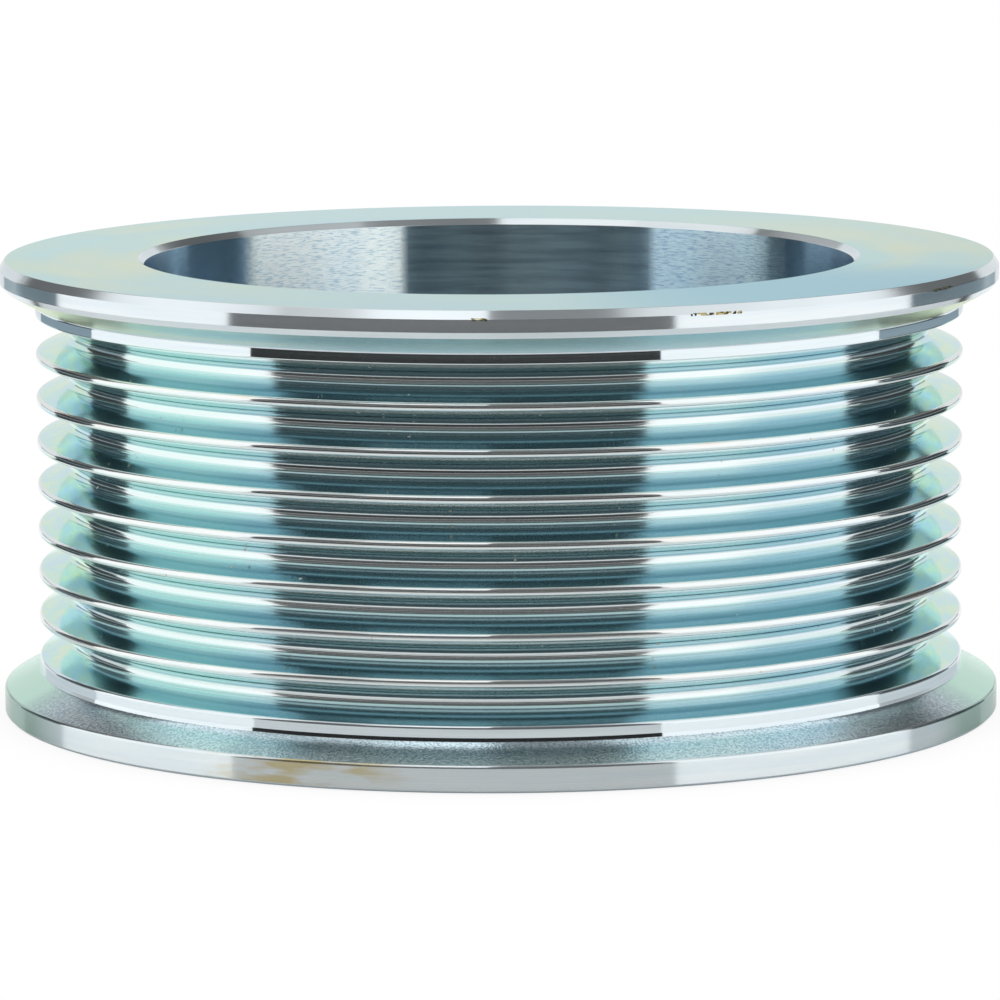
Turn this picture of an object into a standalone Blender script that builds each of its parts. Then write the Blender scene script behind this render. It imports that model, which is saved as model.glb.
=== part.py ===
"""Pulley for a flat ribbed belt: one ring, turned from steel and zinc plated.

The outside has eight V grooves between two plain collars, and a bevelled flange past each
collar keeps the belt in. The inside is one plain bore, right through, that seats on a hub.
Lengths are in metres. The axis is Z, and the origin is the middle of the bottom face.
"""

import math

import bmesh
import bpy

# The bore and the wall between it and the floors of the grooves
BORE_DIAMETER = 0.0578
BORE_CHAMFER = 0.0005
WALL = 0.0061

# The belt profile
GROOVE_COUNT = 8
GROOVE_PITCH = 0.00356
GROOVE_ANGLE = math.radians(40)
GROOVE_FLOOR_WIDTH = 0.00098
GROOVE_FLOOR_RADIUS = 0.00063
RIB_TIP_WIDTH = 0.00055
RIB_TIP_RADIUS = 0.00035

# The plain collars at both ends of the belt profile, as high as the ribs
TOP_COLLAR_WIDTH = 0.00086
BOTTOM_COLLAR_WIDTH = 0.00119
TOP_COLLAR_EDGE_RADIUS = 0.00012
BOTTOM_COLLAR_EDGE_RADIUS = 0.0003
COLLAR_ROOT_RADIUS = 0.0002

# The flanges, both as large as each other
FLANGE_RISE = 0.0029

# The top flange, from its face down to its collar
TOP_EDGE_WIDTH = 0.00045
TOP_EDGE_HEIGHT = 0.00066
TOP_RIM_HEIGHT = 0.00101
UNDER_EDGE_WIDTH = 0.00035
UNDER_EDGE_HEIGHT = 0.00049
TOP_BEVEL_HEIGHT = 0.00141

# The bottom flange, from its collar down to its face
BOTTOM_BEVEL_HEIGHT = 0.00137
BOTTOM_RIM_HEIGHT = 0.00188
BOTTOM_RIM_RADIUS = 0.0003
BOTTOM_EDGE_CHAMFER = 0.0002

# How finely the turned surface is drawn: flats round the ring, and steps in each rounded edge
FLATS = 60
EDGE_STEPS = 2
FLOOR_STEPS = 1
SMOOTH_BELOW = math.radians(30)

# The most of a straight side that the rounding of one of its ends may take
SIDE_SHARE = 0.45

# Bright zinc over steel
ZINC_COLOR = (0.68, 0.77, 0.79, 1.0)
ZINC_ROUGHNESS = 0.22

# Sizes that follow from those above
GROOVE_MOUTH_WIDTH = GROOVE_PITCH - RIB_TIP_WIDTH
GROOVE_DEPTH = (GROOVE_MOUTH_WIDTH - GROOVE_FLOOR_WIDTH) / 2 / math.tan(GROOVE_ANGLE / 2)
BORE_R = BORE_DIAMETER / 2
FLOOR_R = BORE_R + WALL
RIB_R = FLOOR_R + GROOVE_DEPTH
FLANGE_R = RIB_R + FLANGE_RISE

BOTTOM_COLLAR_Z = BOTTOM_EDGE_CHAMFER + BOTTOM_RIM_HEIGHT + BOTTOM_BEVEL_HEIGHT
BELT_BOTTOM_Z = BOTTOM_COLLAR_Z + BOTTOM_COLLAR_WIDTH
BELT_TOP_Z = BELT_BOTTOM_Z + GROOVE_COUNT * GROOVE_PITCH - RIB_TIP_WIDTH
UNDER_BEVEL_Z = BELT_TOP_Z + TOP_COLLAR_WIDTH
UNDER_EDGE_Z = UNDER_BEVEL_Z + TOP_BEVEL_HEIGHT
TOP_RIM_Z = UNDER_EDGE_Z + UNDER_EDGE_HEIGHT
TOP_EDGE_Z = TOP_RIM_Z + TOP_RIM_HEIGHT
HEIGHT = TOP_EDGE_Z + TOP_EDGE_HEIGHT


def clear_scene():
    """Removes every object that the scene starts with."""
    for old in list(bpy.data.objects):
        bpy.data.objects.remove(old, do_unlink=True)


def zinc_material():
    """The bright plating that covers the whole ring."""
    material = bpy.data.materials.new("zinc_plate")
    material.use_nodes = True
    shader = material.node_tree.nodes["Principled BSDF"]
    shader.inputs["Base Color"].default_value = ZINC_COLOR
    shader.inputs["Metallic"].default_value = 1.0
    shader.inputs["Roughness"].default_value = ZINC_ROUGHNESS
    material.diffuse_color = ZINC_COLOR
    return material


def rounded(before, corner, after, radius, steps):
    """The points of an arc that rounds a corner of the section, limited by its shorter side."""
    sides = []
    for end in (before, after):
        length = math.dist(corner, end)
        sides.append((length, (end[0] - corner[0]) / length, (end[1] - corner[1]) / length))
    (length_a, ax, az), (length_b, bx, bz) = sides
    half = math.acos(max(-1.0, min(1.0, ax * bx + az * bz))) / 2
    reach = min(radius / math.tan(half), SIDE_SHARE * length_a, SIDE_SHARE * length_b)
    radius = reach * math.tan(half)
    to_middle = reach / math.cos(half)
    mid_x, mid_z = ax + bx, az + bz
    mid_length = math.hypot(mid_x, mid_z)
    centre = (
        corner[0] + mid_x / mid_length * to_middle,
        corner[1] + mid_z / mid_length * to_middle,
    )
    start = math.atan2(corner[1] + az * reach - centre[1], corner[0] + ax * reach - centre[0])
    end = math.atan2(corner[1] + bz * reach - centre[1], corner[0] + bx * reach - centre[0])
    sweep = math.remainder(end - start, math.tau)
    return [
        (
            centre[0] + radius * math.cos(start + sweep * step / steps),
            centre[1] + radius * math.sin(start + sweep * step / steps),
        )
        for step in range(steps + 1)
    ]


def top_flange():
    """The section of the top flange, from the bore's chamfer to the collar's root."""
    return [
        (BORE_R + BORE_CHAMFER, HEIGHT, 0, 0),
        (FLANGE_R - TOP_EDGE_WIDTH, HEIGHT, 0, 0),
        (FLANGE_R, TOP_EDGE_Z, 0, 0),
        (FLANGE_R, TOP_RIM_Z, 0, 0),
        (FLANGE_R - UNDER_EDGE_WIDTH, UNDER_EDGE_Z, 0, 0),
        (RIB_R, UNDER_BEVEL_Z, COLLAR_ROOT_RADIUS, EDGE_STEPS),
    ]


def groove(top_z):
    """The floor of the groove whose mouth has its upper edge at this height."""
    floor_top = top_z - (GROOVE_MOUTH_WIDTH - GROOVE_FLOOR_WIDTH) / 2
    return [
        (FLOOR_R, floor_top, GROOVE_FLOOR_RADIUS, FLOOR_STEPS),
        (FLOOR_R, floor_top - GROOVE_FLOOR_WIDTH, GROOVE_FLOOR_RADIUS, FLOOR_STEPS),
    ]


def belt_profile():
    """The section from the upper collar's edge over all grooves and ribs to the lower collar's."""
    corners = [(RIB_R, BELT_TOP_Z, TOP_COLLAR_EDGE_RADIUS, EDGE_STEPS)]
    for index in range(GROOVE_COUNT):
        mouth_top = BELT_TOP_Z - index * GROOVE_PITCH
        mouth_bottom = mouth_top - GROOVE_MOUTH_WIDTH
        corners += groove(mouth_top)
        if index < GROOVE_COUNT - 1:
            corners.append((RIB_R, mouth_bottom, RIB_TIP_RADIUS, EDGE_STEPS))
            corners.append((RIB_R, mouth_bottom - RIB_TIP_WIDTH, RIB_TIP_RADIUS, EDGE_STEPS))
    corners.append((RIB_R, BELT_BOTTOM_Z, BOTTOM_COLLAR_EDGE_RADIUS, EDGE_STEPS))
    return corners


def bottom_flange():
    """The section of the bottom flange, from the collar's root to the bore's chamfer."""
    return [
        (RIB_R, BOTTOM_COLLAR_Z, COLLAR_ROOT_RADIUS, EDGE_STEPS),
        (FLANGE_R, BOTTOM_EDGE_CHAMFER + BOTTOM_RIM_HEIGHT, BOTTOM_RIM_RADIUS, EDGE_STEPS),
        (FLANGE_R, BOTTOM_EDGE_CHAMFER, 0, 0),
        (FLANGE_R - BOTTOM_EDGE_CHAMFER, 0, 0, 0),
        (BORE_R + BORE_CHAMFER, 0, 0, 0),
    ]


def bore():
    """The section of the bore, from the bottom up."""
    return [(BORE_R, BORE_CHAMFER, 0, 0), (BORE_R, HEIGHT - BORE_CHAMFER, 0, 0)]


def section():
    """The ring's section as a closed outline of (radius, height), with its edges rounded."""
    corners = top_flange() + belt_profile() + bottom_flange() + bore()
    points = []
    for index, (radius_at, height_at, rounding, steps) in enumerate(corners):
        if rounding:
            before = corners[index - 1][:2]
            after = corners[(index + 1) % len(corners)][:2]
            points += rounded(before, (radius_at, height_at), after, rounding, steps)
        else:
            points.append((radius_at, height_at))
    return points


def pulley_ring():
    """The section turned once about the axis."""
    shape = bmesh.new()
    outline = [shape.verts.new((radius, 0, height)) for radius, height in section()]
    edges = [shape.edges.new((outline[index - 1], outline[index])) for index in range(len(outline))]
    bmesh.ops.spin(
        shape,
        geom=outline + edges,
        cent=(0, 0, 0),
        axis=(0, 0, 1),
        angle=math.tau,
        steps=FLATS,
        use_merge=True,
    )
    bmesh.ops.recalc_face_normals(shape, faces=shape.faces[:])
    mesh = bpy.data.meshes.new("pulley_ring")
    shape.to_mesh(mesh)
    shape.free()
    mesh.shade_smooth()
    mesh.set_sharp_from_angle(angle=SMOOTH_BELOW)
    mesh.materials.append(zinc_material())
    ring = bpy.data.objects.new("pulley_ring", mesh)
    bpy.context.scene.collection.objects.link(ring)
    return ring


clear_scene()
pulley_ring()
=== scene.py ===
"""The looks of the ribbed belt pulley: turned steel under bright zinc, in a plain pale studio.

Lengths are in metres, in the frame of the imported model. The ring's axis is Z, the origin is the
middle of its bottom face, and the camera looks along +Y and a little down. Azimuths are in
degrees round the axis from the camera's side, with the picture's right side positive.
"""

import math

import bpy
from mathutils import Matrix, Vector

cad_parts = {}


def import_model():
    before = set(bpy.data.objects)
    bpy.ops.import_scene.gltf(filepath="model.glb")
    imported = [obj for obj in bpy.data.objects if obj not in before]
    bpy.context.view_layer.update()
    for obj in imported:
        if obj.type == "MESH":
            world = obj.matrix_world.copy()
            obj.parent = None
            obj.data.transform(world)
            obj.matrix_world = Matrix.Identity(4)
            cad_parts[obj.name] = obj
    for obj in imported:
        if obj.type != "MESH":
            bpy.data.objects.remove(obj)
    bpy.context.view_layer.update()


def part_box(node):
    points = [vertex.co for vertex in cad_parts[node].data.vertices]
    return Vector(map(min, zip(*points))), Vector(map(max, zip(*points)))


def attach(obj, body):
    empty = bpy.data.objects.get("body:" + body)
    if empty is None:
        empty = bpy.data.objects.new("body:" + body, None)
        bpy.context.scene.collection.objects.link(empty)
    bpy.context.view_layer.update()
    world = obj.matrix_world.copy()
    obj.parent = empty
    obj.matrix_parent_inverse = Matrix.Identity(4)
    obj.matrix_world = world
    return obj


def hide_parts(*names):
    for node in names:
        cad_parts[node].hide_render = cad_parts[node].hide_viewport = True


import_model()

# The ring's outside, as packed
RING_LOWEST, RING_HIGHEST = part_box("pulley_ring")
FLANGE_R = RING_HIGHEST.x
HEIGHT = RING_HIGHEST.z - RING_LOWEST.z

# The belt profile
GROOVE_COUNT = 8
GROOVE_PITCH = 0.00356
GROOVE_ANGLE = math.radians(40)
GROOVE_FLOOR_WIDTH = 0.00098
GROOVE_FLOOR_RADIUS = 0.00063
RIB_TIP_WIDTH = 0.00055
RIB_TIP_RADIUS = 0.00035
GROOVE_MOUTH_WIDTH = GROOVE_PITCH - RIB_TIP_WIDTH
FLANK_HEIGHT = (GROOVE_MOUTH_WIDTH - GROOVE_FLOOR_WIDTH) / 2
GROOVE_DEPTH = FLANK_HEIGHT / math.tan(GROOVE_ANGLE / 2)

# The bore, the collars and the flanges
FLANGE_RISE = 0.0029
WALL = 0.0061
BORE_CHAMFER = 0.0005
TOP_COLLAR_WIDTH = 0.00086
BOTTOM_COLLAR_WIDTH = 0.00119
TOP_COLLAR_EDGE_RADIUS = 0.00012
BOTTOM_COLLAR_EDGE_RADIUS = 0.0003
COLLAR_ROOT_RADIUS = 0.0002
COLLAR_FOOT_HEIGHT = 0.00032
COLLAR_FOOT_RISE = 0.00003
TOP_EDGE_WIDTH = 0.00045
TOP_EDGE_HEIGHT = 0.00066
TOP_RIM_HEIGHT = 0.00101
UNDER_EDGE_WIDTH = 0.00035
UNDER_EDGE_HEIGHT = 0.00049
TOP_BEVEL_HEIGHT = 0.00141
BOTTOM_RIM_HEIGHT = 0.00188
BOTTOM_RIM_RADIUS = 0.0003
BOTTOM_EDGE_CHAMFER = 0.0002
EDGE_BREAK = 0.00006

# The normals of the bore's wall lean up by this angle. They are told from the rest by how far
# out they point, where -1 is straight at the axis.
BORE_LEAN = math.radians(7)
BORE_FACING = -0.99

# Radii and heights that follow from those above
RIB_R = FLANGE_R - FLANGE_RISE
FLOOR_R = RIB_R - GROOVE_DEPTH
BORE_R = FLOOR_R - WALL
TOP_EDGE_Z = HEIGHT - TOP_EDGE_HEIGHT
TOP_RIM_Z = TOP_EDGE_Z - TOP_RIM_HEIGHT
UNDER_EDGE_Z = TOP_RIM_Z - UNDER_EDGE_HEIGHT
UNDER_BEVEL_Z = UNDER_EDGE_Z - TOP_BEVEL_HEIGHT
BELT_TOP_Z = UNDER_BEVEL_Z - TOP_COLLAR_WIDTH
BELT_BOTTOM_Z = BELT_TOP_Z - GROOVE_COUNT * GROOVE_PITCH + RIB_TIP_WIDTH
BOTTOM_COLLAR_Z = BELT_BOTTOM_Z - BOTTOM_COLLAR_WIDTH
BOTTOM_RIM_Z = BOTTOM_EDGE_CHAMFER + BOTTOM_RIM_HEIGHT

# How finely the ring is drawn: steps round it, and steps in each rounded edge
TURN_STEPS = 480
BREAK_STEPS = 2
ROUND_STEPS = 4

# The most of a straight side that the rounding of one of its ends may take
SIDE_SHARE = 0.45

# Colours that several finishes share
BLACK = (0.0, 0.0, 0.0)
WHITE = (1.0, 1.0, 1.0)
FLOOR_TINT = (0.87, 0.94, 0.95)
TIP_TINT = (0.84, 0.91, 0.91)
GOLD_DUST = (0.92, 0.84, 0.62)
WHITE_DUST = (0.90, 0.90, 0.86)

# How far the plating's colour goes to white at glancing angles
PALER_SHARE = 0.65

# The roughness of the noise that is drawn out round the ring
STREAK_ROUGHNESS = 0.6

# How far the bands of colour in the grooves wander, as a share of the groove's depth
BAND_WANDER = 0.10

# The turn, in whole turns, that spreads reflections across the turning marks
BRUSH_TURN = 0.25

# The worn flecks on the top chamfer: how far they reach, from what noise on, and on which
# stretches, each an azimuth and half its width
FLECK_REACH = 0.00011
FLECK_FROM = 0.42
FLECK_STRETCHES = ((24, 5), (59, 4), (-2, 1.5))

# The sockets of a colour mix, which go by their places
MIX_FIRST = 6
MIX_SECOND = 7
MIX_RESULT = 2

# The camera: how far it is from the axis, how high, and how it points
CAMERA_DISTANCE = 0.52803
CAMERA_ABOVE_RING = 0.05606
CAMERA_PITCH = math.radians(8.2246)
CAMERA_ROLL = math.radians(-0.2684)
SENSOR_WIDTH = 36.0
FOCAL_PIXELS = 6506.4
IMAGE_PIXELS = 1000
CAMERA_NEAR = 0.01

# The pale floor under the ring
PLATE_R = 0.092
PLATE_Z = -0.0001
PLATE_STEPS = 96
PLATE_COLOR = (0.88, 0.88, 0.88)
PLATE_ROUGHNESS = 0.06
# The floor's painted glow, seen only in reflections
PLATE_GLOW = 0.25
SHADOW_REACH = 0.005
SHADOW_LEVEL = 0.90
SHADOW_SAMPLES = 8

# The studio's mats, walls and ceiling. The blue band of a flag stands just inside the walls.
MAT_Z = -0.001
MAT_R = 0.112
PANEL_R = 0.17
BAND_R = 0.165
WALL_Z = 0.20
ROOF_R = 0.11
ROOF_Z = 0.30
PANEL_STEP = math.radians(3)
CANOPY_STEPS = 24

# The heights where the bands of the front wall meet, from the foot up
FOOT_TOP_Z = 0.0195
LOW_TOP_Z = 0.032
MIDDLE_TOP_Z = 0.062
UPPER_TOP_Z = 0.135

# The heights where the bands of the other walls meet
SIDE_TOP_Z = 0.06
FLAG_FOOT_Z = 0.012
FLAG_BAND_Z = 0.024
FLAG_TOP_Z = 0.072
BACK_FOOT_Z = 0.014
BACK_TOP_Z = 0.09

# The outlines of the panels, as (radius, height)
NEAR_MAT = ((PLATE_R, MAT_Z), (MAT_R, MAT_Z))
FAR_MAT = ((MAT_R, MAT_Z), (PANEL_R, MAT_Z))
FOOT_WALL = ((PANEL_R, MAT_Z), (PANEL_R, FOOT_TOP_Z))
LOW_WALL = ((PANEL_R, FOOT_TOP_Z), (PANEL_R, LOW_TOP_Z))
MIDDLE_WALL = ((PANEL_R, LOW_TOP_Z), (PANEL_R, MIDDLE_TOP_Z))
UPPER_WALL = ((PANEL_R, MIDDLE_TOP_Z), (PANEL_R, UPPER_TOP_Z))
HIGH_WALL = ((PANEL_R, UPPER_TOP_Z), (PANEL_R, WALL_Z))
ROOF = ((PANEL_R, WALL_Z), (ROOF_R, ROOF_Z))
SIDE = ((PLATE_R, MAT_Z), (PANEL_R, MAT_Z), (PANEL_R, SIDE_TOP_Z))
SIDE_TOP = ((PANEL_R, SIDE_TOP_Z), (PANEL_R, WALL_Z))
FLAG_MAT = ((PLATE_R, MAT_Z), (PANEL_R, MAT_Z), (PANEL_R, FLAG_FOOT_Z))
FLAG_BAND = ((BAND_R, FLAG_FOOT_Z), (BAND_R, FLAG_BAND_Z))
FLAG = ((PANEL_R, FLAG_BAND_Z), (PANEL_R, FLAG_TOP_Z))
FLAG_TOP = ((PANEL_R, FLAG_TOP_Z), (PANEL_R, WALL_Z))
BACK_MAT = ((PLATE_R, MAT_Z), (PANEL_R, MAT_Z), (PANEL_R, BACK_FOOT_Z))
BACK = ((PANEL_R, BACK_FOOT_Z), (PANEL_R, BACK_TOP_Z))
BACK_TOP = ((PANEL_R, BACK_TOP_Z), (PANEL_R, WALL_Z))

# The two colours of the dark flags
FLAG_DARK = (0.04, 0.046, 0.048)
FLAG_BLUE = (0.28, 0.35, 0.39)

# The panels: name, azimuths of both ends, grey level or colour, and outline
FRONT = (-56, 35)
PANELS = (
    ("front_near_mat", *FRONT, 0.60, NEAR_MAT),
    ("front_far_mat", *FRONT, 0.08, FAR_MAT),
    ("front_foot_wall", *FRONT, 0.018, FOOT_WALL),
    ("front_low_wall", *FRONT, 0.42, LOW_WALL),
    ("front_middle_wall", *FRONT, 0.10, MIDDLE_WALL),
    ("front_upper_left", -56, -36, 0.12, UPPER_WALL),
    ("front_upper_lamp", -36, -3, 0.13, UPPER_WALL),
    ("front_upper_right", -3, 35, 0.11, UPPER_WALL),
    ("front_high_left", -56, -37, 0.30, HIGH_WALL),
    ("front_high_lamp", -37, -3, 1.0, HIGH_WALL),
    ("front_high_right", -3, 35, 0.20, HIGH_WALL),
    ("left_box", -108, -56, 1.06, SIDE),
    ("left_box_top", -105, -56, 1.06, SIDE_TOP),
    ("right_box", 35, 96, 1.06, SIDE),
    ("right_box_top", 35, 104, 1.06, SIDE_TOP),
    ("left_flag_mat", -131, -108, FLAG_DARK, FLAG_MAT),
    ("left_flag_band", -145, -108, FLAG_BLUE, FLAG_BAND),
    ("left_flag", -131, -108, FLAG_DARK, FLAG),
    ("left_flag_top", -144, -105, 0.16, FLAG_TOP),
    ("right_flag_mat", 96, 134, FLAG_DARK, FLAG_MAT),
    ("right_flag_band", 96, 147, FLAG_BLUE, FLAG_BAND),
    ("right_flag", 96, 134, FLAG_DARK, FLAG),
    ("right_flag_top", 104, 144, 0.16, FLAG_TOP),
    ("back_mat", 134, 229, 0.98, BACK_MAT),
    ("backdrop", 134, 229, 0.82, BACK),
    ("backdrop_top_right", 144, 165, 0.12, BACK_TOP),
    ("backdrop_top", 165, 216, 0.45, BACK_TOP),
    ("roof_lamp", -37, -3, 1.15, ROOF),
    ("roof_gap", -3, 34, 0.30, ROOF),
    ("roof_right", 34, 88, 0.82, ROOF),
    ("roof_far_right", 88, 134, 0.52, ROOF),
    ("roof_left", -112, -37, 0.82, ROOF),
    ("roof_back_right", 134, 183, 0.45, ROOF),
    ("roof_back_left", 183, 248, 0.90, ROOF),
)

# The halves of the ceiling: name, azimuths of both ends, and grey level
CANOPIES = (
    ("canopy_left", -180, 0, 1.0),
    ("canopy_right", 0, 180, 0.22),
)


def side(corner, end):
    """Length and direction of the side that leaves a corner for another."""
    length = math.dist(corner, end)
    return length, (end[0] - corner[0]) / length, (end[1] - corner[1]) / length


def arc(before, corner, after, radius, steps):
    """Points and outward normals of an arc that rounds one corner of the section."""
    (length_a, ax, az), (length_b, bx, bz) = (side(corner, before), side(corner, after))
    half = math.acos(max(-1.0, min(1.0, ax * bx + az * bz))) / 2
    reach = min(radius / math.tan(half), SIDE_SHARE * length_a, SIDE_SHARE * length_b)
    radius = reach * math.tan(half)
    middle = math.hypot(ax + bx, az + bz)
    centre_x = corner[0] + (ax + bx) / middle * reach / math.cos(half)
    centre_z = corner[1] + (az + bz) / middle * reach / math.cos(half)
    start = math.atan2(corner[1] + az * reach - centre_z, corner[0] + ax * reach - centre_x)
    end = math.atan2(corner[1] + bz * reach - centre_z, corner[0] + bx * reach - centre_x)
    sweep = math.remainder(end - start, math.tau)
    facing = 1.0 if sweep < 0 else -1.0
    points = []
    for step in range(steps + 1):
        angle = start + sweep * step / steps
        out_x, out_z = math.cos(angle), math.sin(angle)
        points.append((centre_x + radius * out_x, centre_z + radius * out_z,
                       facing * out_x, facing * out_z))
    return points


def top_flange():
    """Corners from the bore's chamfer to the root of the upper collar.

    Each corner has its radius from the axis, its height, the radius and the steps of its arc,
    and the finish of the side that follows. The other functions of the section do the same.
    """
    return [
        (BORE_R + BORE_CHAMFER, HEIGHT, EDGE_BREAK, BREAK_STEPS, "face"),
        (FLANGE_R - TOP_EDGE_WIDTH, HEIGHT, EDGE_BREAK, BREAK_STEPS, "rim"),
        (FLANGE_R, TOP_EDGE_Z, EDGE_BREAK, BREAK_STEPS, "rim"),
        (FLANGE_R, TOP_RIM_Z, EDGE_BREAK, BREAK_STEPS, "rim"),
        (FLANGE_R - UNDER_EDGE_WIDTH, UNDER_EDGE_Z, EDGE_BREAK, BREAK_STEPS, "bevel"),
        (RIB_R, UNDER_BEVEL_Z, COLLAR_ROOT_RADIUS, ROUND_STEPS, "collar"),
    ]


def belt_profile():
    """Corners from the upper collar's edge over all grooves and ribs to the lower collar's."""
    corners = [(RIB_R, BELT_TOP_Z, TOP_COLLAR_EDGE_RADIUS, ROUND_STEPS, "groove")]
    for index in range(GROOVE_COUNT):
        mouth_top = BELT_TOP_Z - index * GROOVE_PITCH
        mouth_bottom = mouth_top - GROOVE_MOUTH_WIDTH
        rib_bottom = mouth_bottom - RIB_TIP_WIDTH
        floor_top = mouth_top - FLANK_HEIGHT
        floor_bottom = floor_top - GROOVE_FLOOR_WIDTH
        corners.append((FLOOR_R, floor_top, GROOVE_FLOOR_RADIUS, ROUND_STEPS, "groove"))
        corners.append((FLOOR_R, floor_bottom, GROOVE_FLOOR_RADIUS, ROUND_STEPS, "flank"))
        if index < GROOVE_COUNT - 1:
            corners.append((RIB_R, mouth_bottom, RIB_TIP_RADIUS, ROUND_STEPS, "rib"))
            corners.append((RIB_R, rib_bottom, RIB_TIP_RADIUS, ROUND_STEPS, "groove"))
    corners.append((RIB_R, BELT_BOTTOM_Z, BOTTOM_COLLAR_EDGE_RADIUS, ROUND_STEPS, "collar"))
    return corners


def bottom_flange():
    """Corners from the root of the lower collar to the bore's chamfer."""
    return [
        (RIB_R, BOTTOM_COLLAR_Z + COLLAR_FOOT_HEIGHT, EDGE_BREAK, BREAK_STEPS, "collar"),
        (RIB_R + COLLAR_FOOT_RISE, BOTTOM_COLLAR_Z, EDGE_BREAK, BREAK_STEPS, "shoulder"),
        (FLANGE_R, BOTTOM_RIM_Z, BOTTOM_RIM_RADIUS, ROUND_STEPS, "foot"),
        (FLANGE_R, BOTTOM_EDGE_CHAMFER, EDGE_BREAK, BREAK_STEPS, "rim"),
        (FLANGE_R - BOTTOM_EDGE_CHAMFER, 0, EDGE_BREAK, BREAK_STEPS, "face"),
        (BORE_R + BORE_CHAMFER, 0, EDGE_BREAK, BREAK_STEPS, "rim"),
    ]


def bore():
    """Corners of the bore, from the bottom up."""
    return [
        (BORE_R, BORE_CHAMFER, EDGE_BREAK, BREAK_STEPS, "bore"),
        (BORE_R, HEIGHT - BORE_CHAMFER, EDGE_BREAK, BREAK_STEPS, "rim"),
    ]


def leaned(point):
    """A point of the section. On the bore's wall its normal leans up."""
    radius, height, out, up = point
    if out > BORE_FACING:
        return point
    return radius, height, -math.cos(BORE_LEAN), math.sin(BORE_LEAN)


def section():
    """The ring's section: points with their normals, and the finish of the side after each."""
    corners = top_flange() + belt_profile() + bottom_flange() + bore()
    points, finishes = [], []
    for index, (radius_at, height_at, rounding, steps, finish) in enumerate(corners):
        before = corners[index - 1][:2]
        after = corners[(index + 1) % len(corners)][:2]
        rounded = arc(before, (radius_at, height_at), after, rounding, steps)
        points += [leaned(point) for point in rounded]
        finishes += [finish] * len(rounded)
    return points, finishes


def turned_points(points):
    """The places and the normals of the section's points, at every step round the axis."""
    verts, normals = [], []
    for turn in range(TURN_STEPS):
        angle = math.tau * turn / TURN_STEPS
        across, along = math.cos(angle), math.sin(angle)
        for radius, height, out, up in points:
            verts.append((radius * across, radius * along, height))
            normals.append((out * across, out * along, up))
    return verts, normals


def turned_faces(count):
    """The faces between each two neighbouring turns of a section with this many points."""
    faces = []
    for turn in range(TURN_STEPS):
        first = turn * count
        second = (turn + 1) % TURN_STEPS * count
        for index in range(count):
            following = (index + 1) % count
            faces.append((first + index, first + following, second + following, second + index))
    return faces


def turned_mesh(name, finish_names):
    """The section turned once about Z, with exact normals and one material index a finish."""
    points, finishes = section()
    verts, normals = turned_points(points)
    materials = [finish_names.index(finish) for finish in finishes]
    mesh = bpy.data.meshes.new(name)
    mesh.from_pydata(verts, [], turned_faces(len(points)))
    mesh.polygons.foreach_set("material_index", materials * TURN_STEPS)
    mesh.shade_smooth()
    mesh.normals_split_custom_set_from_vertices(normals)
    mesh.validate()
    return mesh


def opaque(color):
    """A colour of three numbers with full alpha. Another node's output stays as it is."""
    return color if isinstance(color, bpy.types.NodeSocket) else (*color, 1.0)


class Nodes:
    """A material and its node tree, with short ways to add nodes to it."""

    def __init__(self, name):
        self.material = bpy.data.materials.new(name)
        self.material.use_nodes = True
        self.tree = self.material.node_tree

    def add(self, kind, inputs=None, **settings):
        """A node with its settings, and with a value or another node's output on some inputs."""
        node = self.tree.nodes.new(kind)
        for name, value in settings.items():
            setattr(node, name, value)
        for name, value in (inputs or {}).items():
            if isinstance(value, bpy.types.NodeSocket):
                self.tree.links.new(value, node.inputs[name])
            else:
                node.inputs[name].default_value = value
        return node

    def maths(self, operation, first, second=0.0, third=0.0):
        """The result of one sum on up to three values."""
        inputs = {0: first, 1: second, 2: third}
        return self.add("ShaderNodeMath", inputs, operation=operation).outputs["Value"]

    def vectors(self, operation, inputs, output="Vector"):
        """The result of one sum on vectors."""
        return self.add("ShaderNodeVectorMath", inputs, operation=operation).outputs[output]

    def ramp(self, value, *stops):
        """Colours that follow a value, each stop a place from 0 to 1 and a colour."""
        node = self.add("ShaderNodeValToRGB", {"Fac": value})
        elements = node.color_ramp.elements
        for element, (place, color) in zip((elements[0], elements[1]), (stops[0], stops[-1])):
            element.position = place
            element.color = opaque(color)
        for place, color in stops[1:-1]:
            elements.new(place).color = opaque(color)
        return node.outputs["Color"]

    def rising(self, value, low, high):
        """A share that climbs from 0 at the low value to 1 at the high one."""
        return self.ramp(value, (low, BLACK), (high, WHITE))

    def falling(self, value, low, high):
        """A share that drops from 1 at the low value to 0 at the high one."""
        return self.ramp(value, (low, WHITE), (high, BLACK))

    def mixed(self, share, first, second, blend="MIX"):
        """Two colours mixed by a share, each of them three numbers or another node's output."""
        inputs = {0: share, MIX_FIRST: opaque(first), MIX_SECOND: opaque(second)}
        node = self.add("ShaderNodeMix", inputs, data_type="RGBA", blend_type=blend)
        return node.outputs[MIX_RESULT]


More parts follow.
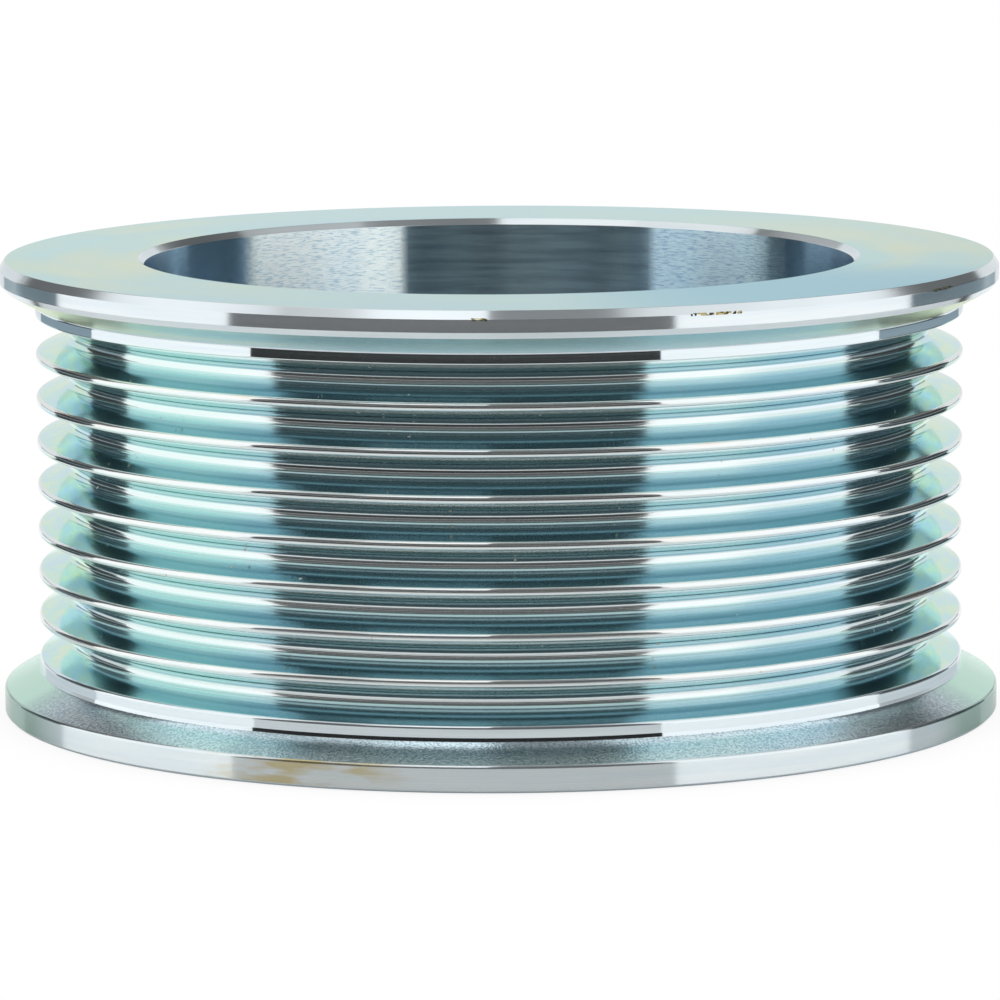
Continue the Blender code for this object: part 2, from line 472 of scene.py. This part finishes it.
class Zinc(Nodes):
    """A bright plated finish, and places on the turned ring as sockets.

    The sockets are the direction from the axis, the distance from it, the height, and the sum
    of the last two, which changes along every straight side of the section.
    """

    def __init__(self, name, roughness, anisotropy=0.0):
        super().__init__(name)
        self.shader = self.tree.nodes["Principled BSDF"]
        self.shader.inputs["Metallic"].default_value = 1.0
        self.shader.inputs["Roughness"].default_value = roughness
        if anisotropy:
            self.brush(anisotropy)
        self.place = self.add("ShaderNodeTexCoord").outputs["Object"]
        flat = self.vectors("MULTIPLY", {0: self.place, 1: (1.0, 1.0, 0.0)})
        self.around = self.vectors("NORMALIZE", {0: flat})
        self.radius = self.vectors("LENGTH", {0: flat}, output="Value")
        self.height = self.add("ShaderNodeSeparateXYZ", {"Vector": self.place}).outputs["Z"]
        self.across = self.maths("ADD", self.radius, self.height)

    def link(self, socket, name):
        """Puts another node's output on one of the shader's inputs."""
        self.tree.links.new(socket, self.shader.inputs[name])

    def brush(self, anisotropy):
        """Spreads the reflections across the turning marks."""
        self.shader.inputs["Anisotropic"].default_value = anisotropy
        self.shader.inputs["Anisotropic Rotation"].default_value = BRUSH_TURN
        tangent = self.add("ShaderNodeTangent", direction_type="RADIAL", axis="Z")
        self.link(tangent.outputs["Tangent"], "Tangent")

    def plate(self, color):
        """Sets the plating's colour, and a paler shade of it for glancing angles."""
        self.link(color, "Base Color")
        self.link(self.mixed(PALER_SHARE, color, WHITE), "Specular Tint")

    def plate_dusty(self, color, specks, dust):
        """Sets the plating's colour with specks of dust, which are no metal."""
        self.plate(self.mixed(specks, color, dust))
        self.link(self.maths("SUBTRACT", 1.0, specks), "Metallic")

    def bump(self, height, depth):
        """Gives the surface a relief of this depth."""
        inputs = {"Height": height, "Distance": depth, "Strength": 1.0}
        self.link(self.add("ShaderNodeBump", inputs).outputs["Normal"], "Normal")

    def streaks(self, cells, pitch, detail=2.0):
        """Noise drawn out round the ring: cells in a radian, and the pitch across them."""
        along = self.vectors("SCALE", {0: self.around, "Scale": cells})
        lift = self.maths("MULTIPLY", self.across, 1 / pitch)
        up = self.add("ShaderNodeCombineXYZ", {"Z": lift}).outputs["Vector"]
        place = self.vectors("ADD", {0: along, 1: up})
        inputs = {"Vector": place, "Scale": 1.0, "Detail": detail}
        inputs["Roughness"] = STREAK_ROUGHNESS
        return self.add("ShaderNodeTexNoise", inputs).outputs["Fac"]

    def grain(self, size, detail=1.0):
        """Even noise, the same in all directions."""
        inputs = {"Vector": self.place, "Scale": 1 / size, "Detail": detail}
        return self.add("ShaderNodeTexNoise", inputs).outputs["Fac"]

    def specks(self, spacing, size, share):
        """1 in small round specks, one in each cell of this spacing that the share picks."""
        inputs = {"Vector": self.place, "Scale": 1 / spacing}
        cells = self.add("ShaderNodeTexVoronoi", inputs)
        lot = self.add("ShaderNodeSeparateColor", {"Color": cells.outputs["Color"]})
        chosen = self.maths("LESS_THAN", lot.outputs["Red"], share)
        reach = self.maths("MULTIPLY", lot.outputs["Green"], size / spacing)
        inside = self.maths("LESS_THAN", cells.outputs["Distance"], reach)
        return self.maths("MULTIPLY", chosen, inside)

    def patch(self, azimuth, half_width, peak=1.0):
        """The peak in the middle of a stretch of the ring, falling to 0 at both its ends."""
        angle = math.radians(azimuth)
        toward = (math.sin(angle), -math.cos(angle), 0.0)
        near = self.vectors("DOT_PRODUCT", {0: self.around, 1: toward}, output="Value")
        end = math.cos(math.radians(half_width))
        inputs = {"Value": near, "From Min": end, "From Max": 1.0, "To Max": peak}
        node = self.add("ShaderNodeMapRange", inputs, interpolation_type="SMOOTHSTEP")
        return node.outputs["Result"]

    def patches(self, *stretches):
        """The sum of several patches, each an azimuth and half its width."""
        total = self.patch(*stretches[0])
        for stretch in stretches[1:]:
            total = self.maths("ADD", total, self.patch(*stretch))
        return total


def face_zinc():
    """The top and bottom faces: satin mint, cream towards the sides and blue on one stretch."""
    zinc = Zinc("zinc_face", roughness=0.24)
    cloud = zinc.streaks(cells=1.5, pitch=0.009, detail=1.0)
    mint = zinc.ramp(
        cloud,
        (0.35, (0.66, 0.89, 0.93)),
        (0.65, (0.70, 0.91, 0.88)),
    )
    cream = zinc.ramp(
        cloud,
        (0.38, (0.66, 0.91, 0.90)),
        (0.50, (0.76, 0.92, 0.82)),
        (0.62, (0.82, 0.93, 0.77)),
    )
    blue = (0.42, 0.76, 0.88)
    color = zinc.mixed(zinc.patches((-88, 62), (92, 62)), mint, cream)
    color = zinc.mixed(zinc.patch(42, 38), color, blue)
    zinc.plate(color)
    zinc.bump(zinc.streaks(cells=2.0, pitch=0.00013), depth=0.000001)
    return zinc.material


def edge_flecks(zinc):
    """1 in the worn flecks on the lower edge of the top chamfer."""
    off_edge = zinc.maths("ABSOLUTE", zinc.maths("SUBTRACT", zinc.height, TOP_EDGE_Z))
    on_edge = zinc.maths("LESS_THAN", off_edge, FLECK_REACH)
    worn = zinc.maths("MULTIPLY", zinc.patches(*FLECK_STRETCHES), zinc.grain(size=0.00022))
    return zinc.maths("MULTIPLY", on_edge, zinc.maths("GREATER_THAN", worn, FLECK_FROM))


def rim_zinc():
    """The rims and chamfers: brushed by the turning tool, with a few nicks and worn flecks."""
    zinc = Zinc("zinc_rim", roughness=0.15, anisotropy=1.0)
    haze = zinc.ramp(
        zinc.streaks(cells=2.5, pitch=0.0009),
        (0.35, (0.76, 0.84, 0.88)),
        (0.65, (0.83, 0.89, 0.92)),
    )
    nick = (0.30, 0.32, 0.30)
    color = zinc.mixed(zinc.specks(spacing=0.0021, size=0.00012, share=0.12), haze, nick)
    stain = zinc.ramp(
        zinc.grain(size=0.0003),
        (0.45, (0.05, 0.05, 0.04)),
        (0.58, (0.52, 0.44, 0.20)),
    )
    color = zinc.mixed(edge_flecks(zinc), color, stain)
    zinc.plate(color)
    zinc.bump(zinc.streaks(cells=3.0, pitch=0.00009), depth=0.000002)
    return zinc.material


def foot_zinc():
    """The bottom rim: brushed, with a golden stain on one stretch and green at both sides."""
    zinc = Zinc("zinc_foot", roughness=0.14, anisotropy=1.0)
    haze = zinc.ramp(
        zinc.streaks(cells=2.5, pitch=0.0009),
        (0.35, (0.74, 0.83, 0.87)),
        (0.65, (0.82, 0.88, 0.90)),
    )
    blotches = zinc.ramp(
        zinc.streaks(cells=9.0, pitch=0.0009),
        (0.40, (0.1, 0.1, 0.1)),
        (0.60, WHITE),
    )
    golden = (0.68, 0.60, 0.38)
    green = (0.46, 0.60, 0.55)
    stain = zinc.maths("MULTIPLY", zinc.patch(-22, 14), blotches)
    color = zinc.mixed(stain, haze, golden)
    sides = zinc.rising(zinc.patches((-92, 36), (90, 36)), low=0.05, high=0.50)
    color = zinc.mixed(sides, color, green)
    zinc.plate(color)
    zinc.bump(zinc.streaks(cells=3.0, pitch=0.00009), depth=0.000002)
    return zinc.material


def collar_zinc():
    """The collars, the smoothest turned bands."""
    zinc = Zinc("zinc_collar", roughness=0.055, anisotropy=0.9)
    color = zinc.ramp(
        zinc.streaks(cells=2.0, pitch=0.0005),
        (0.35, (0.76, 0.85, 0.90)),
        (0.65, (0.82, 0.90, 0.93)),
    )
    zinc.plate(color)
    zinc.bump(zinc.streaks(cells=2.0, pitch=0.00012), depth=0.0000006)
    return zinc.material


def bevel_zinc():
    """The bevel under the top flange: satin, and yellow green towards both sides."""
    zinc = Zinc("zinc_bevel", roughness=0.26, anisotropy=0.9)
    color = zinc.ramp(
        zinc.streaks(cells=1.6, pitch=0.0016),
        (0.34, (0.60, 0.80, 0.84)),
        (0.50, (0.66, 0.84, 0.84)),
        (0.64, (0.78, 0.86, 0.78)),
    )
    yellow_green = (0.78, 0.90, 0.66)
    color = zinc.mixed(zinc.patches((-80, 45), (80, 45)), color, yellow_green)
    zinc.plate(color)
    zinc.bump(zinc.streaks(cells=3.0, pitch=0.0001), depth=0.000001)
    return zinc.material


def shoulder_zinc():
    """The bevel of the bottom flange: grainy, green at both sides, with painted dark reflections
    in grey blue on three stretches.
    """
    zinc = Zinc("zinc_shoulder", roughness=0.20, anisotropy=0.6)
    color = zinc.ramp(
        zinc.streaks(cells=1.6, pitch=0.003),
        (0.34, (0.82, 0.93, 0.97)),
        (0.50, (0.86, 0.95, 0.98)),
        (0.64, (0.88, 0.96, 0.95)),
    )
    satin = zinc.ramp(
        zinc.grain(size=0.00020, detail=3.0),
        (0.38, (0.62, 0.68, 0.73)),
        (0.56, WHITE),
    )
    speckle = zinc.ramp(
        zinc.grain(size=0.00018),
        (0.35, (0.2, 0.2, 0.2)),
        (0.65, (0.9, 0.9, 0.9)),
    )
    green = (0.60, 0.84, 0.74)
    grey_blue = (0.40, 0.50, 0.55)
    color = zinc.mixed(1.0, color, satin, blend="MULTIPLY")
    sides = zinc.rising(zinc.patches((-90, 30), (90, 30)), low=0.10, high=0.50)
    color = zinc.mixed(sides, color, green)
    # Painted dark reflections: grey blue with speckle on three stretches
    painted_dark_reflection = zinc.maths("MULTIPLY", zinc.patches((-64, 9), (60, 14), (-27, 7)), speckle)
    color = zinc.mixed(painted_dark_reflection, color, grey_blue)
    zinc.plate(color)
    zinc.bump(zinc.grain(size=0.00020), depth=0.000014)
    return zinc.material


def groove_color(zinc, *stops):
    """The colour in a groove, by its stops from the floor out, with a paler floor and tip."""
    inputs = {"Value": zinc.radius, "From Min": FLOOR_R, "From Max": RIB_R}
    rise = zinc.add("ShaderNodeMapRange", inputs).outputs["Result"]
    cloud = zinc.streaks(cells=1.8, pitch=0.0014, detail=1.0)
    wander = zinc.maths("MULTIPLY_ADD", cloud, BAND_WANDER, -BAND_WANDER / 2)
    color = zinc.ramp(zinc.maths("ADD", rise, wander), *stops)
    color = zinc.mixed(zinc.falling(rise, low=0.004, high=0.03), color, FLOOR_TINT)
    return zinc.mixed(zinc.rising(rise, low=0.90, high=0.99), color, TIP_TINT)


def side_share(zinc):
    """1 on the stretches of the ring that face the picture's sides, 0 in front of them."""
    return zinc.rising(zinc.patches((-90, 27), (90, 27)), low=0.02, high=0.55)


def groove_zinc():
    """The upper flanks and the floors of the grooves: green, and blue on one stretch."""
    zinc = Zinc("zinc_groove", roughness=0.115, anisotropy=0.5)
    color = groove_color(
        zinc,
        (0.04, (0.45, 0.66, 0.70)),
        (0.16, (0.60, 0.78, 0.83)),
        (0.35, (0.65, 0.87, 0.85)),
        (0.62, (0.68, 0.88, 0.85)),
        (0.84, (0.93, 0.98, 0.97)),
        (0.96, (0.78, 0.88, 0.88)),
    )
    mint = (0.66, 0.95, 0.86)
    blue = (0.55, 0.74, 0.96)
    color = zinc.mixed(zinc.patch(-48, 18, peak=0.45), color, mint)
    color = zinc.mixed(zinc.patch(43, 12, peak=0.28), color, blue)
    rainbow = zinc.ramp(
        zinc.streaks(cells=7.0, pitch=0.0011),
        (0.36, (0.52, 0.76, 0.87)),
        (0.50, (0.56, 0.83, 0.81)),
        (0.64, (0.66, 0.85, 0.68)),
    )
    color = zinc.mixed(side_share(zinc), color, rainbow)
    specks = zinc.specks(spacing=0.0010, size=0.00015, share=0.22)
    zinc.plate_dusty(color, specks, GOLD_DUST)
    zinc.bump(zinc.streaks(cells=2.5, pitch=0.00011), depth=0.0000012)
    return zinc.material


def flank_zinc():
    """The lower flanks of the grooves, with a deep teal band a third of the way out."""
    zinc = Zinc("zinc_flank", roughness=0.12, anisotropy=0.5)
    color = groove_color(
        zinc,
        (0.06, (0.88, 0.94, 0.95)),
        (0.17, (0.76, 0.85, 0.89)),
        (0.33, (0.27, 0.46, 0.54)),
        (0.60, (0.43, 0.60, 0.66)),
        (0.88, (0.52, 0.68, 0.74)),
    )
    pale = (0.66, 0.86, 0.84)
    deep = (0.42, 0.62, 0.60)
    color = zinc.mixed(zinc.patch(-50, 18, peak=0.30), color, pale)
    color = zinc.mixed(zinc.patch(43, 14, peak=0.4), color, deep)
    rainbow = zinc.ramp(
        zinc.streaks(cells=7.0, pitch=0.0011),
        (0.36, (0.66, 0.88, 0.94)),
        (0.50, (0.68, 0.92, 0.85)),
        (0.64, (0.77, 0.93, 0.77)),
    )
    color = zinc.mixed(side_share(zinc), color, rainbow)
    specks = zinc.specks(spacing=0.0014, size=0.00016, share=0.16)
    zinc.plate_dusty(color, specks, WHITE_DUST)
    zinc.bump(zinc.streaks(cells=2.5, pitch=0.00014), depth=0.0000006)
    return zinc.material


def rib_zinc():
    """The rib tips: worn bright, with a trace of pink and gold."""
    zinc = Zinc("zinc_rib", roughness=0.10, anisotropy=1.0)
    color = zinc.ramp(
        zinc.streaks(cells=5.0, pitch=0.0008),
        (0.30, (0.82, 0.90, 0.92)),
        (0.60, (0.90, 0.93, 0.92)),
        (0.75, (0.90, 0.84, 0.78)),
    )
    zinc.plate(color)
    zinc.bump(zinc.streaks(cells=4.0, pitch=0.0001), depth=0.0000006)
    return zinc.material


def bore_zinc():
    """The bore: brushed hard, with short scratches round it. Its blue at both sides and its pale
    stretch beside the back are painted reflections, and its dark colour at the back is a painted
    dark reflection."""
    zinc = Zinc("zinc_bore", roughness=0.24, anisotropy=1.0)
    scratches = zinc.streaks(cells=36.0, pitch=0.00008, detail=3.0)
    color = zinc.ramp(scratches, (0.39, (0.55, 0.72, 0.80)), (0.49, (0.92, 1.0, 0.99)))
    # Painted reflections in pale and blue, and below them a painted dark reflection with faint
    # marks
    pale = zinc.ramp(scratches, (0.42, (0.34, 0.50, 0.64)), (0.49, (0.56, 0.73, 0.80)))
    blue = zinc.ramp(scratches, (0.38, (0.25, 0.42, 0.56)), (0.48, (0.36, 0.54, 0.70)))
    marks = zinc.streaks(cells=3.0, pitch=0.0005, detail=3.0)
    painted_dark_reflection = zinc.ramp(marks, (0.35, (0.20, 0.28, 0.33)), (0.60, (0.30, 0.41, 0.46)))
    # The stretches where the painted reflections and the painted dark reflection lie
    pale_reflection_stretch = zinc.patch(140, 18)
    sides = zinc.patches((-100, 37), (97, 31))
    back = zinc.patch(174.7, 24.4)
    for stretch, shade in ((pale_reflection_stretch, pale), (sides, blue), (back, painted_dark_reflection)):
        color = zinc.mixed(zinc.rising(stretch, low=0.06, high=0.18), color, shade)
    zinc.plate(color)
    zinc.bump(scratches, depth=0.0000015)
    return zinc.material


FINISHES = {
    "face": face_zinc,
    "rim": rim_zinc,
    "foot": foot_zinc,
    "bevel": bevel_zinc,
    "shoulder": shoulder_zinc,
    "collar": collar_zinc,
    "groove": groove_zinc,
    "flank": flank_zinc,
    "rib": rib_zinc,
    "bore": bore_zinc,
}


def pulley():
    """The ring as it looks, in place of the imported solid."""
    mesh = turned_mesh("pulley", list(FINISHES))
    for finish in FINISHES.values():
        mesh.materials.append(finish())
    piece = bpy.data.objects.new("pulley", mesh)
    bpy.context.scene.collection.objects.link(piece)
    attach(piece, "root")
    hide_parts("pulley_ring")


def glow(name, level):
    """A surface that gives off the same light all over: a grey level, or a colour."""
    nodes = Nodes(name)
    nodes.tree.nodes.clear()
    color = (level, level, level) if isinstance(level, float) else level
    emission = nodes.add("ShaderNodeEmission", {"Color": opaque(color), "Strength": 1.0})
    nodes.add("ShaderNodeOutputMaterial", {"Surface": emission.outputs["Emission"]})
    return nodes.material


def stage_mesh(name, verts, faces, material):
    """A piece of the studio, hidden from the camera."""
    mesh = bpy.data.meshes.new(name)
    mesh.from_pydata(verts, [], faces)
    mesh.materials.append(material)
    piece = bpy.data.objects.new(name, mesh)
    bpy.context.scene.collection.objects.link(piece)
    piece.visible_camera = False
    piece.visible_shadow = False
    return piece


def placed(azimuth, radius, height):
    """The place at an azimuth, a distance from the axis and a height."""
    angle = math.radians(azimuth)
    return radius * math.sin(angle), -radius * math.cos(angle), height


def panel(name, start, end, level, outline):
    """A screen on one side of the ring, between two azimuths."""
    steps = max(2, round(math.radians(end - start) / PANEL_STEP))
    verts, faces = [], []
    for step in range(steps + 1):
        azimuth = start + (end - start) * step / steps
        verts += [placed(azimuth, radius, height) for radius, height in outline]
    for step in range(steps):
        for index in range(len(outline) - 1):
            low = step * len(outline) + index
            faces.append((low, low + 1, low + len(outline) + 1, low + len(outline)))
    stage_mesh(name, verts, faces, glow(name, level))


def canopy(name, start, end, level):
    """Half of the ceiling over the ring."""
    verts = []
    for step in range(CANOPY_STEPS + 1):
        azimuth = start + (end - start) * step / CANOPY_STEPS
        verts.append(placed(azimuth, ROOF_R, ROOF_Z))
    stage_mesh(name, verts, [tuple(range(len(verts)))], glow(name, level))


def floor_material():
    """A glossy pale floor for the ring's reflections, with a painted glow of its own that painted
    shade dims close to the ring.

    The camera itself sees it white, with a soft shadow close to the ring.
    """
    nodes = Nodes("pale_floor")
    shader = nodes.tree.nodes["Principled BSDF"]
    shader.inputs["Base Color"].default_value = opaque(PLATE_COLOR)
    shader.inputs["Roughness"].default_value = PLATE_ROUGHNESS
    shader.inputs["Emission Color"].default_value = opaque(WHITE)
    inputs = {"Distance": SHADOW_REACH}
    occlusion = nodes.add("ShaderNodeAmbientOcclusion", inputs, samples=SHADOW_SAMPLES)
    open_share = occlusion.outputs["AO"]
    # Painted glow for the ring's reflections, with painted shade close to the ring
    glowing = nodes.maths("MULTIPLY", open_share, PLATE_GLOW)
    nodes.tree.links.new(glowing, shader.inputs["Emission Strength"])
    inputs = {"Value": open_share, "To Min": SHADOW_LEVEL, "To Max": 1.0}
    shade = nodes.add("ShaderNodeMapRange", inputs).outputs["Result"]
    white = nodes.add("ShaderNodeEmission", {"Strength": shade}).outputs["Emission"]
    seen = nodes.add("ShaderNodeLightPath").outputs["Is Camera Ray"]
    inputs = {0: seen, 1: shader.outputs["BSDF"], 2: white}
    mix = nodes.add("ShaderNodeMixShader", inputs).outputs["Shader"]
    nodes.tree.links.new(mix, nodes.tree.nodes["Material Output"].inputs["Surface"])
    return nodes.material


def floor_plate():
    """The round floor that the ring stands on, which the camera sees."""
    verts = []
    for step in range(PLATE_STEPS):
        angle = math.tau * step / PLATE_STEPS
        verts.append((PLATE_R * math.cos(angle), PLATE_R * math.sin(angle), PLATE_Z))
    plate = stage_mesh("pale_floor", verts, [tuple(range(PLATE_STEPS))], floor_material())
    plate.visible_camera = True
    plate.visible_shadow = True


def world():
    """A white room."""
    room = bpy.data.worlds.new("white_room")
    room.use_nodes = True
    background = room.node_tree.nodes["Background"]
    background.inputs["Color"].default_value = opaque(WHITE)
    background.inputs["Strength"].default_value = 1.0
    bpy.context.scene.world = room


def camera():
    """The photograph's view of the ring."""
    data = bpy.data.cameras.new("camera")
    data.sensor_width = SENSOR_WIDTH
    data.lens = FOCAL_PIXELS / IMAGE_PIXELS * SENSOR_WIDTH
    data.clip_start = CAMERA_NEAR
    eye = bpy.data.objects.new("camera", data)
    bpy.context.scene.collection.objects.link(eye)
    turn = Matrix.Rotation(math.radians(90) - CAMERA_PITCH, 4, "X")
    roll = Matrix.Rotation(CAMERA_ROLL, 4, "Z")
    place = Matrix.Translation((0, -CAMERA_DISTANCE, HEIGHT + CAMERA_ABOVE_RING))
    eye.matrix_world = place @ turn @ roll
    bpy.context.scene.camera = eye


def studio():
    """Everything round the ring that lights it or shows in its reflections."""
    world()
    floor_plate()
    for row in PANELS:
        panel(*row)
    for row in CANOPIES:
        canopy(*row)


camera()
studio()
pulley()
bpy.context.scene.view_settings.view_transform = "Standard"
